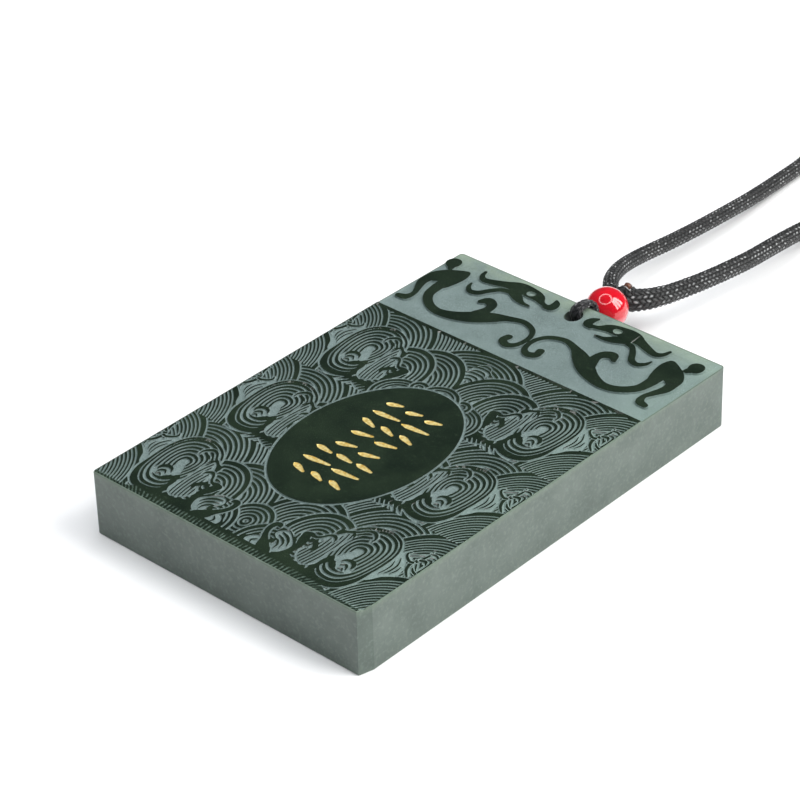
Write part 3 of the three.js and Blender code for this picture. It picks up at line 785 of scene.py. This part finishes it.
def in_oval(points):
    u, v = points[:, 0] - CARVING_X, points[:, 1] - OVAL_Y
    return np.hypot(u / OVAL_HALF_WIDTH, v / OVAL_HALF_HEIGHT) < OVAL_INNER


def carved_depth(points, cut):
    """How far below the face each point lies, where cut is how far it is inside a groove."""
    full = np.interp(points[:, 1], (BAND_FOOT_Y, BAND_FOOT_Y + BAND_STEP), (WAVE_DEPTH, BAND_DEPTH))
    full = np.where(in_oval(points), STROKE_DEPTH, full)
    return full * np.clip(cut / WALL, 0, 1)


def face_triangles():
    """The carved face in its outline: points, triangles, and which are polished, cut or gilded."""
    x, y, cut = whole_face()
    points, edges = [], []
    outline = plaque_outline(BEVEL)
    for loop in [thinned(loop) for level in (0.0, WALL) for loop in contour_loops(cut - level, x, y)
                 if len(loop) > 8] + [outline]:
        start = len(points)
        points.extend(loop.tolist())
        edges.extend((start + i, start + (i + 1) % len(loop)) for i in range(len(loop)))
    points, _, triangles, _, _, _ = delaunay_2d_cdt([Vector(p) for p in points], edges, [], 0, 1e-6, False)
    points = np.array([p[:] for p in points])
    triangles = np.array(triangles)
    middle = points[triangles].mean(1)
    inside = on_outline(middle, BEVEL)[2] > 1e-5
    triangles, middle = triangles[inside], middle[inside]
    kind = np.where(sampled(cut, x, y, middle) > 0, GROOVE, RIDGE)
    kind = np.where((kind == GROOVE) & in_oval(middle), GOLD, kind)
    depth = carved_depth(points, sampled(cut, x, y, points))
    return np.column_stack([points, THICKNESS - depth]), triangles, kind


def boundary_loop(triangles):
    """The points round the outside of some triangles, in order."""
    sides = np.vstack([triangles[:, [0, 1]], triangles[:, [1, 2]], triangles[:, [2, 0]]])
    inner = set(map(tuple, sides[:, ::-1].tolist()))
    after = {a: b for a, b in map(tuple, sides.tolist()) if (a, b) not in inner}
    start = next(iter(after))
    loop = [start]
    while after[loop[-1]] != start:
        loop.append(after[loop[-1]])
    return loop


def plaque(materials):
    points, triangles, kind = face_triangles()
    used, triangles = np.unique(triangles, return_inverse=True)
    points, triangles = points[used], triangles.reshape(-1, 3)
    loop = boundary_loop(triangles)
    rim = points[loop]
    side, along, _ = on_outline(rim[:, :2], BEVEL)
    rings = [np.array(loop)]
    rows = [points]
    count = len(points)
    for inset, height in ((BEVEL_MIDDLE, THICKNESS - BEVEL_MIDDLE), (0, THICKNESS - BEVEL), (0, BEVEL),
                          (BEVEL_MIDDLE, BEVEL_MIDDLE), (BEVEL, 0)):
        start = plaque_outline(inset)
        after = np.roll(start, -1, axis=0)
        edge = start[side] + along[:, None] * (after[side] - start[side])
        rows.append(np.column_stack([edge, np.minimum(rim[:, 2], height)]))
        rings.append(count + np.arange(len(loop)))
        count += len(loop)
    faces = triangles.tolist()
    slots = kind.tolist()
    for upper, lower in zip(rings[:-1], rings[1:]):
        quads = np.stack([upper, lower, np.roll(lower, -1), np.roll(upper, -1)], -1)
        faces.extend(quads.tolist())
        slots.extend([SIDE] * len(quads))
    faces.append(rings[-1][::-1].tolist())
    slots.append(SIDE)
    obj = new_mesh("plaque_carved", np.vstack(rows), faces, materials, slots, smooth_faces=False)
    bore_plaque(obj, materials)
    return obj


def bore_plaque(obj, materials):
    """The slanted hole from the face to the end, near the top edge."""
    face, end = np.array(HOLE_FACE), np.array(HOLE_END)
    along = unit(end - face)
    ring = HOLE_DIAMETER / 2 * circle(*two_across(along), HOLE_TURNS)
    points = np.vstack([face - along * HOLE_PAST + ring, end + along * HOLE_PAST + ring])
    faces = closed_tube_faces(2, HOLE_TURNS)
    drill = new_mesh("drill", points, faces, materials, [SIDE] * len(faces), smooth_faces=False)
    cut = obj.modifiers.new("hole", "BOOLEAN")
    cut.object = drill
    cut.operation = "DIFFERENCE"
    cut.solver = "EXACT"
    depsgraph = bpy.context.evaluated_depsgraph_get()
    bored = bpy.data.meshes.new_from_object(obj.evaluated_get(depsgraph))
    obj.modifiers.clear()
    obj.data = bored
    bpy.data.objects.remove(drill)


# ==== the pieces on the cord

def bead(material):
    """A turned bead whose bore has rounded mouths."""
    radius, bore, lip = BEAD_DIAMETER / 2, BEAD_BORE / 2, BEAD_LIP
    open_angle = np.arcsin((bore + lip) / radius)
    angle = np.linspace(open_angle, np.pi - open_angle, 49)
    profile = [(radius * np.sin(a), radius * np.cos(a)) for a in angle]
    mouth = radius * np.cos(open_angle)
    for turn in np.linspace(0, np.pi / 2, 6)[1:]:
        profile.append((bore + lip * (1 - np.sin(turn)), -mouth + lip * (1 - np.cos(turn))))
    for turn in np.linspace(np.pi / 2, 0, 6)[:-1]:
        profile.append((bore + lip * (1 - np.sin(turn)), mouth - lip * (1 - np.cos(turn))))
    along = unit(np.array(BORE_TO_KNOT))
    points = []
    for out in circle(*two_across(along), BEAD_TURNS):
        points.extend(np.array(BEAD) + r * out + h * along for r, h in profile)
    size = len(profile)
    wrapped = [[corner % len(points) for corner in face[::-1]] for face in tube_faces(BEAD_TURNS + 1, size)]
    return new_mesh("bead_polished", points, wrapped, [material])


def knot(look):
    """An overhand knot drawn tight, as a closed line through its own loops."""
    t = np.linspace(0, 2 * np.pi, 97)
    line = np.column_stack([np.sin(t) + 2 * np.sin(2 * t), np.cos(t) - 2 * np.cos(2 * t), -np.sin(3 * t)])
    return braid("cord_knot_wraps", np.array(KNOT) + line * KNOT_SCALE, KNOT_CORD_DIAMETER, LOOP_BRAID, look)


def melted_tip(look):
    """The cord's short end, sealed with heat into an uneven blob."""
    start, end = np.array(KNOT), np.array(KNOT_END)
    out = circle(*two_across(unit(end - start)), KNOT_END_TURNS)
    angle = 2 * np.pi * np.arange(KNOT_END_TURNS)[:, None] / KNOT_END_TURNS
    rings = []
    for t in np.linspace(0.35, 1, KNOT_END_RINGS):
        blob = np.clip((t - 0.7) / 0.3, 0, 1)
        radius = KNOT_END_DIAMETER / 2 * (0.85 + 0.15 * np.sin(np.pi * blob)) * np.sqrt(1 - 0.97 * blob ** 4)
        lumps = 1 + 0.08 * np.sin(3 * angle + 5 * t) + 0.05 * np.sin(5 * angle - 7 * t)
        rings.append(start + (end - start) * t + radius * lumps * out)
    faces = closed_tube_faces(KNOT_END_RINGS, KNOT_END_TURNS)
    return new_mesh("cord_end_melted", np.vstack(rings), faces, [look])


# ==== materials

NOISE_ROUGHNESS = 0.55


class Look:
    """A material whose nodes are added one at a time."""

    def __init__(self, name, **sockets):
        self.material = bpy.data.materials.new(name)
        self.material.use_nodes = True
        self.tree = self.material.node_tree
        self.shader = self.tree.nodes["Principled BSDF"]
        for socket, value in sockets.items():
            self.put(socket.replace("_", " "), value)

    def put(self, socket, value):
        """A value or a node's result into one of the shader's sockets."""
        self.join(value, self.shader.inputs[socket])

    def join(self, value, socket):
        if isinstance(value, bpy.types.NodeSocket):
            self.tree.links.new(value, socket)
        elif isinstance(value, tuple) and len(value) == 3 and socket.type == "RGBA":
            socket.default_value = (*value, 1)
        else:
            socket.default_value = value

    def node(self, kind, result=0, inputs=(), **settings):
        node = self.tree.nodes.new("ShaderNode" + kind)
        for name, value in settings.items():
            setattr(node, name, value)
        for name, value in inputs:
            self.join(value, node.inputs[name])
        return node.outputs[result]

    def place(self):
        return self.node("TexCoord", "Object")

    def moved(self, stretch=(1, 1, 1)):
        """Object coordinates in millimetres, times a stretch along each axis."""
        scale = tuple(1000 * s for s in stretch)
        return self.node("Mapping", 0, [("Vector", self.place()), ("Scale", scale)])

    def noise(self, size, detail=3.0, stretch=(1, 1, 1)):
        """Noise whose size is in millimetres."""
        return self.node("TexNoise", 0, [("Vector", self.moved(stretch)), ("Scale", 1 / size),
                                         ("Detail", detail), ("Roughness", NOISE_ROUGHNESS)])

    def spots(self, size):
        return self.node("TexVoronoi", 0, [("Vector", self.moved()), ("Scale", 1 / size)])

    def math(self, operation, a, b=0.0, c=0.0):
        return self.node("Math", 0, [(0, a), (1, b), (2, c)], operation=operation)

    def times(self, a, b):
        return self.math("MULTIPLY", a, b)

    def plus(self, a, b):
        return self.math("ADD", a, b)

    def minus(self, a, b):
        return self.math("SUBTRACT", a, b)

    def spread(self, value, low, high, to_low=0.0, to_high=1.0):
        """A value mapped from one range to another, and kept inside it."""
        return self.node("MapRange", 0, [("Value", value), ("From Min", low), ("From Max", high),
                                         ("To Min", to_low), ("To Max", to_high)])

    def patches(self, size, detail, low, high, to_low=0.0, to_high=1.0):
        """Noise spread from one range to another."""
        return self.spread(self.noise(size, detail), low, high, to_low, to_high)

    def blend(self, amount, a, b):
        """Two colours, from the first to the second as the amount goes from 0 to 1."""
        return self.node("Mix", 2, [(0, amount), (6, a), (7, b)], data_type="RGBA")

    def rough(self, size, low, high):
        """Roughness that changes in patches."""
        self.put("Roughness", self.patches(size, 3.0, 0.3, 0.7, low, high))

    def bump(self, height, distance):
        """A bump of that many millimetres."""
        self.put("Normal", self.node("Bump", 0, [("Height", height), ("Distance", distance * 0.001)]))

    def axis(self, name):
        """One object coordinate, in millimetres."""
        return self.times(self.node("SeparateXYZ", name, [("Vector", self.place())]), 1000.0)


def polished_jade():
    """Nearly black green, clouded, with a few pale flecks, and faint scratches along the foot."""
    look = Look("jade_polished", IOR=1.5, Coat_Weight=0.1, Coat_Roughness=0.04)
    cloud = look.patches(5.0, 5.0, 0.35, 0.68)
    colour = look.blend(cloud, (0.005, 0.0115, 0.0055), (0.013, 0.024, 0.012))
    fleck = look.patches(0.5, 4.0, 0.6, 0.78, 0.0, 0.5)
    colour = look.blend(fleck, colour, (0.04, 0.06, 0.035))
    from_middle = look.math("ABSOLUTE", look.minus(look.axis("X"), CARVING_X))
    height = look.plus(look.axis("Y"), LENGTH / 2)
    lean = look.spread(from_middle, 9.0, 14.0, 0.1, 0.95)
    across = look.minus(from_middle, look.times(lean, height))
    line = look.math("SINE", look.times(across, 2 * np.pi / PITCH))
    foot = look.spread(height, 1.25, 0.9)
    scratch = look.times(look.spread(line, -0.2, 0.9), look.patches(0.5, 3.0, 0.35, 0.62))
    scratch = look.times(look.times(scratch, foot), 0.6)
    look.put("Base Color", look.blend(scratch, colour, (0.14, 0.2, 0.17)))
    look.rough(0.9, 0.12, 0.2)
    look.bump(look.noise(0.6, 4.0), 0.002)
    return look.material


def frosted_jade():
    """The blasted ground between the ridges, pale and grainy, with painted glints and painted light glowing
    through the stone towards its far and right edges.
    """
    look = Look("jade_frosted", IOR=1.5)
    cloud = look.patches(3.0, 5.0, 0.3, 0.7)
    colour = look.blend(cloud, (0.075, 0.11, 0.105), (0.115, 0.16, 0.155))
    # painted light: greener and paler towards the far edge, where light glows through the stone
    far_edge_glow = look.times(look.spread(look.axis("Y"), 26.0, 30.0), look.patches(4.0, 3.0, 0.3, 0.6))
    colour = look.blend(far_edge_glow, colour, (0.20, 0.26, 0.18))
    # painted light: paler and greener towards the right edge, where light glows through the stone
    right = look.spread(look.axis("X"), 11.0, 19.0, 0.0, 0.5)
    colour = look.blend(right, colour, (0.18, 0.26, 0.22))
    grain = look.patches(0.1, 2.0, 0.38, 0.68)
    colour = look.blend(look.times(grain, 0.5), colour, (0.28, 0.35, 0.34))
    glint = look.spread(look.spots(0.3), 0.04, 0.14, 0.8, 0.0)
    look.put("Base Color", look.blend(glint, colour, (0.55, 0.62, 0.6)))
    look.rough(0.3, 0.5, 0.68)
    look.bump(look.noise(0.12, 3.0), 0.03)
    return look.material


def satin_jade():
    """The ground sides, cloudy, with painted light that makes them paler and greener along their upper edge
    and at their foot.
    """
    look = Look("jade_satin", IOR=1.5, Coat_Weight=0.1, Coat_Roughness=0.3)
    cloud = look.patches(4.0, 4.0, 0.3, 0.7)
    colour = look.blend(cloud, (0.06, 0.085, 0.07), (0.095, 0.125, 0.105))
    height = look.axis("Z")
    # painted light: the top and the foot of each side paler and greener, as light through the stone's edges
    edge = look.plus(look.spread(height, 7.3, 8.1), look.spread(height, 0.5, 0.0, 0.0, 0.6))
    colour = look.blend(look.times(edge, 0.4), colour, (0.15, 0.21, 0.145))
    fleck = look.patches(0.45, 4.0, 0.5, 0.75, 0.0, 0.3)
    look.put("Base Color", look.blend(fleck, colour, (0.2, 0.26, 0.22)))
    look.rough(1.2, 0.32, 0.44)
    look.bump(look.noise(0.4, 4.0, stretch=(0.5, 0.5, 1.2)), 0.006)
    return look.material


def gold_paint():
    look = Look("gilding", Metallic=0.55, IOR=1.5)
    patch = look.patches(0.35, 4.0, 0.35, 0.65)
    look.put("Base Color", look.blend(patch, (0.72, 0.48, 0.10), (0.98, 0.86, 0.42)))
    look.rough(0.2, 0.3, 0.5)
    look.bump(look.noise(0.15, 3.0), 0.02)
    return look.material


def agate():
    """Glossy red, paler low down on the side away from the plaque, where light comes through it."""
    look = Look("agate_red", IOR=1.5, Coat_Weight=1.0, Coat_Roughness=0.01, Subsurface_Weight=0.2,
                Subsurface_Scale=0.0012, Subsurface_Radius=(1.0, 0.15, 0.12))
    cloud = look.patches(1.6, 4.0, 0.3, 0.7)
    colour = look.blend(cloud, (0.50, 0.001, 0.008), (0.64, 0.003, 0.016))
    low = look.times(look.spread(look.axis("Z"), 5.4, 3.4), look.spread(look.axis("X"), -1.6, 0.6))
    look.put("Base Color", look.blend(look.times(low, 0.75), colour, (0.95, 0.3, 0.36)))
    look.rough(0.7, 0.1, 0.16)
    look.bump(look.noise(1.2, 2.0), 0.0003)
    return look.material


def braided(name, dark, pale, glint):
    """Stitches counted by the UV map, with painted shade darkening the seams between them, painted glints on
    some of them, and their threads as fine lines.
    """
    look = Look(name, Sheen_Weight=0.08, Sheen_Roughness=0.4, IOR=1.5)
    uv = look.node("TexCoord", "UV")
    u = look.node("SeparateXYZ", "X", [("Vector", uv)])
    v = look.node("SeparateXYZ", "Y", [("Vector", uv)])
    column = look.math("FLOOR", u)
    odd = look.math("FLOORED_MODULO", column, 2.0)
    x = look.minus(u, column)
    lean = look.math("MULTIPLY_ADD", odd, -2 * STITCH_LEAN, STITCH_LEAN)
    slant = look.times(lean, look.minus(x, 0.5))
    along = look.plus(look.math("MULTIPLY_ADD", odd, 0.5, v), slant)
    y = look.math("FRACT", along)
    dome = look.times(look.math("SINE", look.times(x, np.pi)),
                    look.math("SINE", look.times(y, np.pi)))
    dome = look.math("POWER", look.math("MAXIMUM", dome, 0.0), 0.6)
    stitch = look.node("CombineXYZ", inputs=[("X", column), ("Y", look.math("FLOOR", along))])
    chance = look.node("TexWhiteNoise", "Value", [("Vector", stitch)], noise_dimensions="2D")
    thread = look.math("SINE", look.times(look.plus(x, look.times(y, 0.25)), 26.0))
    # painted shade: the colour darkens from each stitch's top down into the seams
    level = look.spread(dome, 0.45, 1.0)
    level = look.times(level, look.spread(chance, 0.0, 1.0, 0.3, 1.0))
    level = look.times(level, look.spread(thread, -1.0, 1.0, 0.7, 1.0))
    colour = look.blend(level, dark, pale)
    # painted glints: a pale colour on the tops of some stitches
    glint_amount = look.times(look.spread(chance, 0.55, 0.95), look.spread(dome, 0.7, 1.0))
    look.put("Base Color", look.blend(glint_amount, colour, glint))
    look.put("Roughness", look.spread(chance, 0.0, 1.0, 0.35, 0.6))
    height = look.plus(dome, look.times(thread, 0.07))
    look.bump(height, 0.14)
    return look.material


def melted_end():
    look = Look("cord_end_melted", IOR=1.5, Coat_Weight=0.4, Coat_Roughness=0.2)
    look.put("Base Color", look.blend(look.patches(0.4, 3.0, 0.35, 0.65), (0.03, 0.015, 0.012),
                                      (0.22, 0.09, 0.05)))
    look.rough(0.3, 0.25, 0.5)
    look.bump(look.noise(0.4), 0.08)
    return look.material


def paper():
    look = Look("backdrop_paper")
    look.put("Base Color", look.blend(look.noise(8.0), (0.9, 0.905, 0.91), (0.92, 0.922, 0.925)))
    look.rough(4.0, 0.75, 0.9)
    return look.material


# ==== camera, floor and lights

def camera():
    place, aim = metres(CAMERA_PLACE), metres(CAMERA_AIM)
    forward = unit(aim - place)
    right = unit(np.cross(forward, (0.0, 0.0, 1.0)))
    up = np.cross(right, forward)
    roll = np.radians(CAMERA_ROLL)
    turned_right = np.cos(roll) * right + np.sin(roll) * up
    turned_up = np.cross(turned_right, forward)
    data = bpy.data.cameras.new("camera")
    data.lens = CAMERA_LENS
    data.sensor_width = SENSOR
    data.clip_start = 0.01
    obj = bpy.data.objects.new("camera", data)
    rows = np.column_stack([turned_right, turned_up, -forward, place])
    obj.matrix_world = Matrix([*rows.tolist(), (0, 0, 0, 1)])
    bpy.context.scene.collection.objects.link(obj)
    bpy.context.scene.camera = obj


def softbox(name, place, size, power, colour, mirrored=True):
    """A rectangular light at a place in millimetres, turned to face the origin."""
    data = bpy.data.lights.new(name, "AREA")
    data.shape = "RECTANGLE"
    data.size, data.size_y = size[0] * 0.001, size[1] * 0.001
    data.energy = power
    data.color = colour
    obj = bpy.data.objects.new(name, data)
    obj.location = metres(place)
    obj.rotation_mode = "QUATERNION"
    obj.rotation_quaternion = Vector(metres(place)).to_track_quat("Z", "Y")
    obj.visible_glossy = mirrored
    bpy.context.scene.collection.objects.link(obj)


def floor():
    step = np.linspace(-FLOOR_REACH, FLOOR_REACH, FLOOR_STEPS + 1)
    x, y = np.meshgrid(step, step)
    points = np.column_stack([x.ravel(), y.ravel(), np.zeros(x.size)])
    corner = np.arange(x.size).reshape(x.shape)
    faces = np.stack([corner[:-1, :-1], corner[:-1, 1:], corner[1:, 1:], corner[1:, :-1]], -1).reshape(-1, 4)
    new_mesh("floor", points, faces.tolist(), [paper()])


def ring_lamp():
    """A ring of light overhead, which the camera sees only as a reflection."""
    look = Look("ring_lamp_glow")
    look.put("Base Color", look.blend(look.noise(40.0), (0.9, 0.9, 0.9), (1, 1, 1)))
    look.put("Emission Color", (1, 1, 1))
    look.put("Emission Strength", RING_STRENGTH)
    around = circle(np.array([1, 0, 0]), np.array([0, 1, 0]), RING_TURNS)
    radii = RING_RADIUS - RING_BREADTH / 2, RING_RADIUS + RING_BREADTH / 2
    points = np.vstack([np.array(RING) + around * radius for radius in radii])
    ring = new_mesh("ring_lamp", points, tube_faces(2, RING_TURNS), [look.material])
    ring.visible_camera = False


def studio():
    floor()
    for step in (-1, 0, 1):
        place = np.add(WINDOW, np.multiply(step, WINDOW_STEP))
        softbox("window", place, WINDOW_SIZE, WINDOW_POWER, WINDOW_COLOUR)
    softbox("overhead", OVERHEAD, OVERHEAD_SIZE, OVERHEAD_POWER, OVERHEAD_COLOUR, mirrored=False)
    ring_lamp()
    world = bpy.data.worlds.new("studio")
    world.use_nodes = True
    world.node_tree.nodes["Background"].inputs["Color"].default_value = SKY
    world.node_tree.nodes["Background"].inputs["Strength"].default_value = SKY_STRENGTH
    bpy.context.scene.world = world
    bpy.context.scene.view_settings.view_transform = "Standard"


# ==== the object

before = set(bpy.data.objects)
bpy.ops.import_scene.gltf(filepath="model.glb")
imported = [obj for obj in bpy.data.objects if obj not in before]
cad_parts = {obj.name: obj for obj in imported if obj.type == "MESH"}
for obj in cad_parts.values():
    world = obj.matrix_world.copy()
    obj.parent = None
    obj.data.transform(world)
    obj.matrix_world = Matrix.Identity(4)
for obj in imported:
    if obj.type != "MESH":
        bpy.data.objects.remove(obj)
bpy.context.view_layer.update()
camera()

# the colours: painted shade in the seams, the stitches, and their painted glints
cord_look = braided("cord_black", (0.001, 0.001, 0.001), (0.075, 0.08, 0.08), (0.42, 0.43, 0.43))
loop_look = braided("loop_black", (0.001, 0.001, 0.002), (0.06, 0.06, 0.065), (0.40, 0.40, 0.41))

neck_line = smooth([*FAR_ROUTE, *coil_route(), *NEAR_ROUTE[::-1]])
neck = braid("neck_cord", smooth(neck_points()), CORD_DIAMETER, CORD_BRAID, cord_look)
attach(neck, "root")
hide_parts("neck_cord_far", "neck_cord_near", "cord_coil")

wraps, tip = knot(cord_look), melted_tip(melted_end())
for piece in (wraps, tip):
    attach(piece, "root")
    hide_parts("cord_knot")

loop = braid("bail_loop_cord", smooth(loop_points()), LOOP_WIDTH, LOOP_BRAID, loop_look)
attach(loop, "root")
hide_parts("bail_loop")

stone = plaque([polished_jade(), frosted_jade(), satin_jade(), gold_paint()])
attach(stone, "root")
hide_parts("plaque")

red = bead(agate())
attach(red, "root")
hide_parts("bead")

studio()
